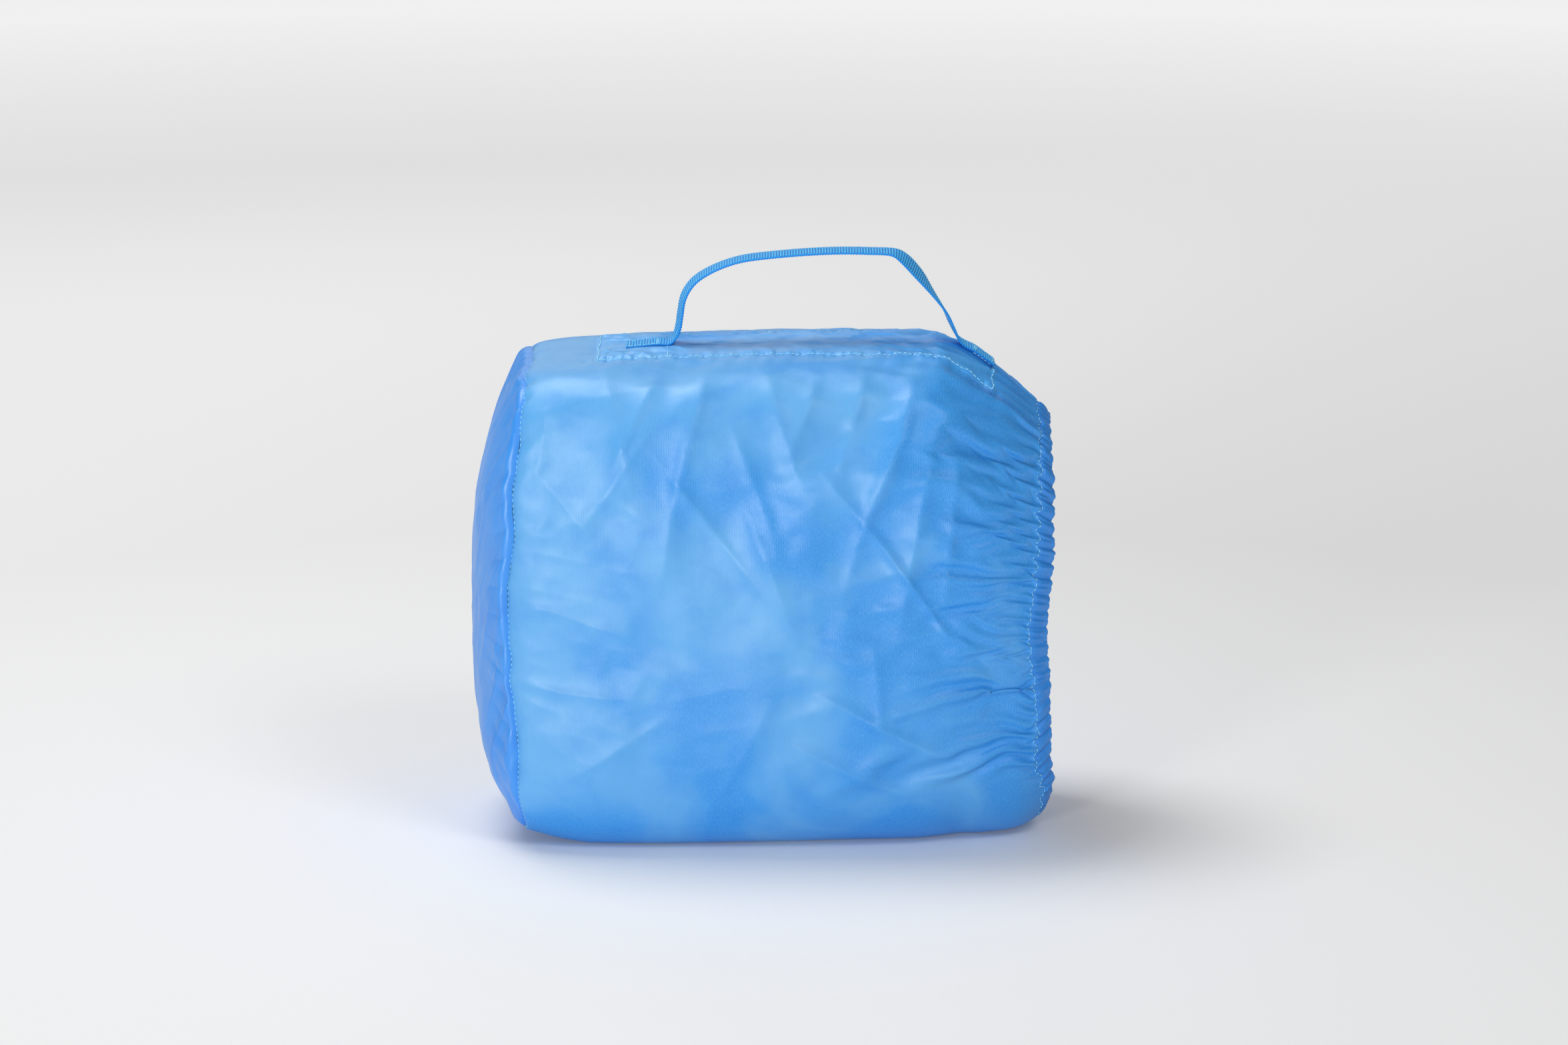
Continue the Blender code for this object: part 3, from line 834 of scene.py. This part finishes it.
def make_hem(cloth, material, elastic):
    """The folded tunnel round the mouth, scalloped by the elastic inside it."""
    edge = cloth.points[-1]
    along = section(cloth.x[-1] + 8.0, THETA) - section(cloth.x[-1], THETA)
    along = along / np.linalg.norm(along, axis=-1, keepdims=True)
    outward = grid_normals(section(np.stack([THETA * 0 + 150, THETA * 0 + 158]), THETA), True)[1]
    out = outward - along * (outward * along).sum(-1, keepdims=True)
    out = out / np.linalg.norm(out, axis=-1, keepdims=True)
    scallop = lobes(ARC, 2 * HEM_LOBES, 36)
    wide = HEM_WIDTH + (HEM_START - cloth.x[-1]) + 0.6 * (scallop - 0.6)
    wide = wide + corner_fold(THETA) + 0.7 * ring_noise(ARC, 30, 71, 0.2)
    wide = wide - 1.0 + 2.8 * np.sin(2 * THETA) ** 2 + 2.5 * np.sin(THETA) ** 2
    bulge = 0.3 + (0.7 + 0.4 * ring_noise(ARC, 80, 72, 0.6)) * scallop
    bulge = bulge + pleats(ARC, 170, 73, 0.9)
    profile = []
    for k in range(9):                      # outside face, from the stitching to the rim
        t = k / 8
        swell = math.sin(math.pi * min(1.0, t * 1.15) ** 0.7) ** 0.7
        profile.append((t * (wide - RIM_RADIUS), bulge * swell - 0.1 - 0.5 * t))
    for k in range(1, 8):                   # round the rim
        turn = math.pi * k / 8
        profile.append((wide - RIM_RADIUS + RIM_RADIUS * math.sin(turn),
                        -0.6 - HEM_DEPTH / 2 * (1 - math.cos(turn))))
    for k in range(9):                      # inside face, back to the stitching
        t = 1 - k / 8
        profile.append((t * (wide - RIM_RADIUS), -0.4 - (HEM_DEPTH - 0.2) * smoothstep(t, 0, 0.35)))
    rows = [edge + along * (a + 0 * ARC)[:, None] + out * (b + 0 * ARC)[:, None]
            for a, b in profile]
    points = np.stack(rows)
    points[..., 2] = np.maximum(points[..., 2], 0.0)
    normals = grid_normals(points, wrap=True)
    uv = cloth_map(ARC, np.arange(len(points))[:, None] * 1.2)
    split = halves(points)
    split_normals = halves(normals)
    split_uv = halves(uv)
    near, far = BAND_REACH
    outer, inner = BAND_DEPTH
    corners = ((near, outer), (far, outer), (far, inner), (near, inner), (near, outer))
    band = halves(np.stack([edge + along * a + out * b for a, b in corners]))
    for word in ("front", "back"):
        piece = grid_object("hem_" + word, split[word], False, material, split_uv[word],
                            split_normals[word])
        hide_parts("hem_casing_" + word)
        give_with_mouth(piece)
        strip = grid_object("elastic_" + word, band[word], False, elastic)
        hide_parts("mouth_elastic_" + word)
        give_with_mouth(strip)


def make_end_panel(material):
    """The closed end: a bulging panel with long slanting wrinkles."""
    apex_x, apex_z = END_APEX
    share = 1 - np.linspace(0.0, 1.0, PANEL_ROWS) ** 1.4
    edge = section(seam_line(THETA), THETA)
    edge[:, 0] -= 0.2
    rows = []
    for s in share:
        fall = s ** DOME_POWER
        rows.append(np.stack([apex_x + (edge[:, 0] - apex_x) * fall, edge[:, 1] * s,
                              apex_z + (edge[:, 2] - apex_z) * s], axis=-1))
    base = np.stack(rows)[::-1]
    s = share[::-1][:, None]
    y = base[..., 1]
    z = base[..., 2]
    normal = grid_normals(base, wrap=True)
    normal[0] = (-1.0, 0.0, 0.0)
    slant = (z + 1.3 * np.abs(y)) / 60
    cross = (z * 0.55 - np.abs(y)) / 13
    folds = ridges(cross + 40, slant + 40, 81)
    fine = ridges(cross * 2.1 + 90, slant * 1.4 + 90, 82)
    arc = ARC[None, :] + 0 * s
    near = smoothstep(s, 0.35, 0.95)
    pinch = pleats(arc + 26 * (1 - s), 44, 83, 1.0) * smoothstep(s, 0.72, 0.97)
    height = (2.3 * (folds - 0.6) * (0.4 + 0.6 * near) + 0.6 * (fine - 0.6)
              + 1.3 * noise(y / 45 + 9, z / 52 + 9, 84) + pinch)
    height = height * (1 - 0.6 * smoothstep(s, 0.96, 1.0)) + 0.5 * smoothstep(s, 0.93, 0.98)
    height = height - PANEL_GROOVE * np.exp(-(1 - s) / 0.007)
    points = base + normal * height[..., None]
    points[0] = points[0].mean(axis=0)
    points[..., 2] = np.maximum(points[..., 2], 0.3)
    uv = cloth_map(y + 200, z + 300)
    normals = grid_normals(points, wrap=True)
    normals[0] = (-1.0, 0.0, 0.0)
    piece = grid_object("closed_end", points, True, material, uv, normals)
    sew(piece, "end_panel")


# ---------------------------------------------------------------- sewn pieces


def add_stitches(verts, faces, centres, normals, length, gap, radius, dip):
    """Thread dashes along a line of points, each end pulled into the cloth."""
    distance = run_length(centres)
    pitch = length + gap
    sides = 6
    rings = 7
    for i in range(int(distance[-1] / pitch)):
        stations = i * pitch + gap / 2 + length * np.linspace(0, 1, rings)
        path = np.stack([np.interp(stations, distance, centres[:, k]) for k in range(3)], -1)
        up = np.stack([np.interp(stations, distance, normals[:, k]) for k in range(3)], -1)
        ahead = np.gradient(path, axis=0)
        ahead /= np.linalg.norm(ahead, axis=1, keepdims=True)
        side = np.cross(ahead, up)
        side /= np.linalg.norm(side, axis=1, keepdims=True)
        up = np.cross(side, ahead)
        arch = np.sin(math.pi * np.linspace(0, 1, rings))
        path = path + up * (dip * (arch - 1) * 2)[:, None]
        girth = radius * (0.55 + 0.45 * np.sqrt(arch))
        base = len(verts)
        for k in range(rings):
            for j in range(sides):
                turn = 2 * math.pi * j / sides
                offset = math.cos(turn) * side[k] + math.sin(turn) * up[k]
                verts.append((path[k] + girth[k] * offset) * MM)
        for k in range(rings - 1):
            for j in range(sides):
                a = base + k * sides + j
                b = base + k * sides + (j + 1) % sides
                faces.append((a, b, b + sides, a + sides))
        faces.append(tuple(base + j for j in reversed(range(sides))))
        faces.append(tuple(base + (rings - 1) * sides + j for j in range(sides)))


def stitch_row(name, lines, material, length, gap, radius, dip=0.25):
    """One piece of thread dashes along every (points, normals) line in lines."""
    verts = []
    faces = []
    for centres, normals in lines:
        add_stitches(verts, faces, centres, normals, length, gap, radius, dip)
    mesh = bpy.data.meshes.new(name)
    mesh.from_pydata([tuple(v) for v in verts], [], faces)
    mesh.shade_smooth()
    mesh.materials.append(material)
    return add_object(name, mesh)


def lines_on(cloth, x, theta, lift):
    """Points and normals of a line laid on the cloth."""
    points = cloth.at(x, theta, lift)
    normals = cloth.at(x, theta, lift + 1.0) - points
    return points, normals


def rectangle_line(low, high, half, spacing=1.0):
    """Closed (x, y) line round a rectangle."""
    along = np.arange(low, high, spacing)
    across = np.arange(-half, half, spacing)
    x = np.concatenate([along, 0 * across + high, along[::-1] + spacing, 0 * across + low])
    y = np.concatenate([0 * along - half, across, 0 * along + half, across[::-1] + spacing])
    return np.append(x, x[0]), np.append(y, y[0])


def patch(low, high, rows, half, columns):
    """The x and y of a grid over a patch of cloth, y falling from half to -half."""
    return np.meshgrid(np.linspace(low, high, rows), -np.linspace(-half, half, columns),
                       indexing="ij")


def make_strip(cloth, material, thread):
    """The reinforcement strip on top, its rows of stitching and its puckers."""
    low, high, half = STRIP
    x, y = patch(low, high, 230, half, 78)
    fray_x = x + 0.35 * noise(y / 5 + 50, x / 400 + 5, 91)
    fray_y = y + 0.45 * noise(x / 6 + 80, y / 400 + 5, 92)
    theta = theta_on_top(fray_x, fray_y)
    edge = np.minimum(np.minimum(x - low, high - x), half - np.abs(y))
    ridge = ridges(x / 11 + 0.08 * y + 27, y / 7 + 60, 93)
    beside_tab = smoothstep(np.abs(y), 11, 16) * smoothstep(-x, 36, 56)
    puff = 0.5 + (0.9 + 1.5 * beside_tab) * smoothstep(edge, 1.0, 7.0) * ridge ** 2
    puff = puff - 0.35 * np.exp(-((edge - STITCH_INSET) / 0.9) ** 2)
    pinch = pleats(x + 300, 170, 94, 0.8) * np.exp(-((edge - STITCH_INSET) / 3.5) ** 2)
    sewn = smoothstep(edge, 0.0, 1.8)     # the cut edge lies flush with the cloth
    lift = np.maximum(puff + pinch, 0.3) * sewn - 0.2 * (1 - sewn)
    points = cloth.at(fray_x, theta, lift)
    uv = cloth_map(y + 100, x + 300)
    piece = grid_object("top_strip", points, False, material, uv)
    sew(piece, "top_reinforcement")

    inset = STITCH_INSET
    line_x, line_y = rectangle_line(low + inset, high - inset, half - inset)
    line_y = line_y + 0.7 * noise(line_x / 7 + 60, line_y / 90 + 9, 98)
    line_x = line_x + 0.7 * noise(line_y / 7 + 60, line_x / 90 + 9, 97)
    cross_y = np.arange(-half + inset, half - inset, 1.0)
    cross_x = low + CROSS_ROW + 0.8 * noise(cross_y / 8 + 60, 0 * cross_y + 4, 99)
    lines = [lines_on(cloth, a, theta_on_top(a, b), STRIP_LIFT)
             for a, b in ((line_x, line_y), (cross_x, cross_y))]
    row = stitch_row("strip_stitches", lines, thread, 2.3, 0.7, 0.28)
    sew(row, "reinforcement_stitching")


def make_hem_stitches(cloth, thread):
    """Pale thread along the hem, which shows between the gathers."""
    for word, low, high in (("front", math.pi / 2, 3 * math.pi / 2),
                            ("back", -math.pi / 2, math.pi / 2)):
        theta = np.linspace(low + 0.01, high - 0.01, 700)
        line, up = lines_on(cloth, hem_line(theta) - 0.3, theta, 0.35)
        row = stitch_row("hem_stitches_" + word, [(line, up)], thread, 2.2, 0.9, 0.2)
        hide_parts("hem_stitching_" + word)
        give_with_mouth(row)


def make_end_seam(cloth, thread, lining):
    """Thread beside the end seam's valley, and the seam allowance turned in behind it."""
    theta = np.linspace(-math.pi / 2, 3 * math.pi / 2, 1400)
    line, up = lines_on(cloth, seam_line(theta) + 1.8, theta, 0.15)
    row = stitch_row("end_seam_stitches", [(line, up)], thread, 2.4, 0.8, 0.2)
    sew(row, "end_seam_stitching")

    around = THETA[None, :]
    reach = np.linspace(1.0, 9.0, 8)[:, None]
    frill = 0.5 * ring_noise(ARC, 90, 95, 0.4)[None, :]
    lift = -0.5 - 0.12 * reach - frill * reach / 9.0
    x = seam_line(around) + reach + 0 * around
    points = cloth.at(x, around + 0 * reach, lift)
    uv = cloth_map(ARC[None, :], reach)
    piece = grid_object("seam_allowance", points, True, lining, uv)
    sew(piece, "end_seam_allowance")


def make_inside_trims(cloth, lining):
    """Closing seam along the bottom, and the backing patches under the handle's ends."""
    x, y = patch(-124.0, 132.0, 120, -5.0, 9)
    theta = -math.pi / 2 + y / 141.0      # 141 mm is the height of the section's middle
    wave = 0.25 * noise(x / 9 + 60, y / 30 + 4, 96)
    points = cloth.at(x, theta, -0.6 + wave)
    points[..., 2] = np.maximum(points[..., 2], 0.25)
    uv = cloth_map(y + 50, x + 300)
    piece = grid_object("bottom_seam", points, False, lining, uv)
    sew(piece, "closing_seam")
    for word, low, high in (("left", -85.0, -49.0), ("right", 106.0, 133.0)):
        x, y = patch(low, high, 40, 18.0, 40)
        wave = 0.2 * noise(x / 8 + 60, y / 8 + 40, 97)
        points = cloth.at(x, theta_on_top(x, y), -0.8 + wave)
        uv = cloth_map(y + 50, x + 300)
        piece = grid_object("backing_" + word, points, False, lining, uv)
        sew(piece, "backing_patch_" + word)


# The webbing's middle line: (x, z, twist in degrees) past the flat tab at the left,
# along the loop and down to the tab at the right.
LOOP_ROUTE = [(-52.6, 281.4, 0), (-49.2, 285.4, -5), (-47.4, 290.6, -8), (-46.3, 298.0, -8),
              (-44.4, 307.6, -7), (-39.2, 316.0, -5), (-29.6, 322.8, -3), (-13.5, 329.0, -1),
              (9.0, 332.2, 0), (40.0, 334.3, 1), (62.0, 334.2, 4), (76.0, 333.2, 9),
              (81.5, 330.0, 15), (90.4, 320.6, 13), (98.5, 309.6, 0), (105.6, 299.0, -7),
              (109.6, 290.4, -8), (113.2, 283.4, -4), (116.4, 280.6, 0)]


def webbing_line(cloth):
    """Middle line, width direction and rib count of the whole strap, tabs included."""
    def on_top(x):
        x = np.asarray(x, float)
        return cloth.at(x, np.full_like(x, math.pi / 2), STRIP_LIFT + WEBBING_THICKNESS / 2)

    left = on_top(np.linspace(-77.0, -57.5, 12))
    right = on_top(np.linspace(118.6, 131.4, 9))
    loop = np.array([(x, 0.0, z) for x, z, _ in LOOP_ROUTE])
    twist = np.concatenate([np.zeros(12), [t for _, _, t in LOOP_ROUTE], np.zeros(9)])
    knots = np.concatenate([left, loop, right])
    knots[:, 1] = 0.0
    steps = np.linalg.norm(np.diff(knots, axis=0), axis=1)
    at = np.concatenate([[0.0], np.cumsum(np.sqrt(steps))])
    dense = np.linspace(0, at[-1], 4000)
    line = np.stack([hermite(at, values, np.gradient(values, at), dense) for values in knots.T], -1)
    turn = np.radians(np.interp(dense, at, twist))
    length = run_length(line)
    count = int(length[-1] / RIB_PITCH * 6)
    even = np.linspace(0, length[-1], count)
    line = np.stack([np.interp(even, length, line[:, k]) for k in range(3)], -1)
    turn = np.interp(even, length, turn)
    kernel = np.hanning(61) / np.hanning(61).sum()
    turn = np.convolve(np.pad(turn, 30, mode="edge"), kernel, mode="valid")
    return line, turn, even


def make_webbing(cloth, material):
    """The strap with its woven ribs, sewn flat at both ends and standing between."""
    line, turn, even = webbing_line(cloth)
    ahead = np.gradient(line, axis=0)
    ahead /= np.linalg.norm(ahead, axis=1, keepdims=True)
    wide = np.stack([np.sin(turn), np.cos(turn), 0 * turn], -1)
    wide -= ahead * (wide * ahead).sum(1, keepdims=True)
    wide /= np.linalg.norm(wide, axis=1, keepdims=True)
    up = np.cross(ahead, wide)
    rib = RIB_HEIGHT * np.sin(2 * math.pi * even / RIB_PITCH)
    half = WEBBING_WIDTH / 2
    thick = WEBBING_THICKNESS / 2
    outline = []
    for k in range(7):
        outline.append((half * 0.97 * (1 - 2 * k / 6), thick, 1.0))
    outline += [(-half, thick * 0.5, 0.5), (-half, -thick * 0.5, 0.5)]
    for k in range(7):
        outline.append((-half * 0.97 * (1 - 2 * k / 6), -thick, -1.0))
    outline += [(half, -thick * 0.5, 0.5), (half, thick * 0.5, 0.5)]
    columns = []
    uv = []
    for across, above, ribbed in outline:
        edge_rib = 0.10 * np.sin(2 * math.pi * even / RIB_PITCH) * (abs(across) >= half)
        offset = (across + math.copysign(1, across) * edge_rib)[:, None] * wide
        columns.append(line + offset + (above + ribbed * rib)[:, None] * up)
        uv.append(np.stack([even * MM, np.full_like(even, (half - abs(across)) / half)], -1))
    points = np.stack(columns, axis=1)
    coordinates = np.stack(uv, axis=1)
    piece = grid_object("webbing_strap", points, True, material, coordinates)
    close_ends(piece, len(outline))
    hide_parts("handle_loop", "handle_tab_left", "handle_tab_right")
    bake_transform(piece)


def close_ends(piece, sides):
    """Fill the two cut ends of a strap."""
    bm = bmesh.new()
    bm.from_mesh(piece.data)
    bm.verts.ensure_lookup_table()
    count = len(bm.verts)
    bm.faces.new([bm.verts[i] for i in reversed(range(sides))])
    bm.faces.new([bm.verts[i] for i in range(count - sides, count)])
    bm.to_mesh(piece.data)
    bm.free()


def make_tab_stitches(cloth, thread):
    """Box stitching that holds each end of the strap."""
    for word, low, high in (("left", -75.2, -59.5), ("right", 118.8, 129.6)):
        x, y = rectangle_line(low, high, WEBBING_WIDTH / 2 - 1.8, 0.5)
        bar_y = np.arange(-8.0, 8.0, 0.5)
        bar_x = 0 * bar_y + (high if word == "left" else low) + 0.9
        lift = STRIP_LIFT + WEBBING_THICKNESS + 0.2
        lines = [lines_on(cloth, a, theta_on_top(a, b), lift) for a, b in ((x, y), (bar_x, bar_y))]
        row = stitch_row("tab_stitches_" + word, lines, thread, 2.0, 0.5, 0.24, 0.2)
        sew(row, "tab_stitching_" + word)


# ---------------------------------------------------------------- stage, light and camera


def make_stage():
    """A wide, plain, pale floor, which glows with distance so that it stays pale to its end."""
    material, tree, shader = new_material("pale_floor")
    shader.inputs["Base Color"].default_value = (0.93, 0.93, 0.93, 1.0)
    shader.inputs["Roughness"].default_value = 0.8
    shader.inputs["Emission Color"].default_value = (1.0, 1.0, 1.0, 1.0)
    place = node(tree, "ShaderNodeTexCoord").outputs["Object"]
    away = node(tree, "ShaderNodeVectorMath", operation="LENGTH")
    tree.links.new(place, away.inputs[0])
    glow = node(tree, "ShaderNodeMapRange", From_Min=0.8, From_Max=3.2, To_Min=0.04, To_Max=0.6)
    tree.links.new(away.outputs["Value"], glow.inputs["Value"])
    tree.links.new(glow.outputs["Result"], shader.inputs["Emission Strength"])
    x, y = np.meshgrid((-9000.0, 9000.0), (-9000.0, 9000.0), indexing="ij")
    floor = grid_object("floor", np.stack([x, y, 0 * x - 0.3], axis=-1), False, material)


# Name, place, height aimed at, size and watts of each soft box, in metres.
LAMPS = [("key", (-0.95, -2.4, 0.42), 0.15, (0.5, 0.4), 27),
         ("fill", (1.1, -1.8, 2.2), 0.15, (0.9, 0.9), 15),
         ("overhead", (-0.6, 0.3, 2.0), 0.25, (1.0, 1.0), 22),
         ("rear", (-0.4, 1.9, 0.95), 0.25, (1.2, 0.4), 2.5)]


def area_light(name, place, target, size, power):
    data = bpy.data.lights.new(name, "AREA")
    data.shape = "RECTANGLE"
    data.size, data.size_y = size
    data.energy = power
    lamp = add_object(name, data)
    lamp.location = place
    lamp.visible_camera = False
    lamp.rotation_euler = (Vector(target) - Vector(place)).to_track_quat("-Z", "Y").to_euler()


def make_lights():
    """Soft boxes in an even white surround."""
    world = bpy.data.worlds.new("studio")
    world.use_nodes = True
    world.node_tree.nodes["Background"].inputs["Color"].default_value = (1.0, 1.0, 1.0, 1.0)
    world.node_tree.nodes["Background"].inputs["Strength"].default_value = 0.23
    bpy.context.scene.world = world
    bpy.context.scene.view_settings.view_transform = "Standard"
    for name, place, aim_z, size, power in LAMPS:
        area_light(name, place, (0, 0, aim_z), size, power)


def make_camera():
    """Long lens, looking slightly down on the front."""
    distance = 4.2
    view_width = 0.9046
    elevation = math.radians(12.5)
    data = bpy.data.cameras.new("camera")
    data.sensor_width = 36.0
    data.lens = data.sensor_width * distance / view_width
    camera = add_object("camera", data)
    target = Vector((0.0131, 0.0, 0.175))
    camera.location = target + distance * Vector((0, -math.cos(elevation), math.sin(elevation)))
    camera.rotation_euler = (math.pi / 2 - elevation, 0, 0)
    bpy.context.scene.camera = camera


def main():
    make_camera()
    make_lights()
    make_stage()
    sleeve = taffeta("sleeve_taffeta", (0.0, 0.265, 0.77), (0.10, 0.40, 0.80), (0.0, 0.215, 0.75))
    # Painted light: the strip's cloth is a paler copy of the sleeve's, for the light from above and
    # the reflection on the top.
    strip = taffeta("strip_taffeta_painted_light", (0.01, 0.31, 0.80), (0.12, 0.43, 0.85), (0.004, 0.26, 0.76))
    # Painted shade: the closed end's cloth is a darker copy of the sleeve's, for the shade on the
    # end.
    panel = taffeta("panel_taffeta_painted_shade", (0.0, 0.21, 0.78), (0.03, 0.29, 0.84), (0.0, 0.16, 0.72),
                    0.4, 0.05)
    # Painted shade: the hem's cloth is a darker copy of the sleeve's, for the shade in the gathers.
    hem = taffeta("hem_taffeta_painted_shade", (0.0, 0.21, 0.70), (0.03, 0.31, 0.80), (0.0, 0.13, 0.56))
    lining = taffeta("seam_cloth", (0.02, 0.24, 0.76), (0.05, 0.30, 0.80), (0.01, 0.17, 0.66))
    thread = thread_material("pale_thread", (0.30, 0.68, 0.94))
    cloth = Cloth()
    make_sleeve(cloth, sleeve)
    make_end_panel(panel)
    make_hem(cloth, hem, elastic_material())
    make_strip(cloth, strip, thread)
    make_hem_stitches(cloth, thread)
    make_end_seam(cloth, thread, lining)
    make_inside_trims(cloth, lining)
    make_webbing(cloth, webbing_material())
    make_tab_stitches(cloth, thread)


main()
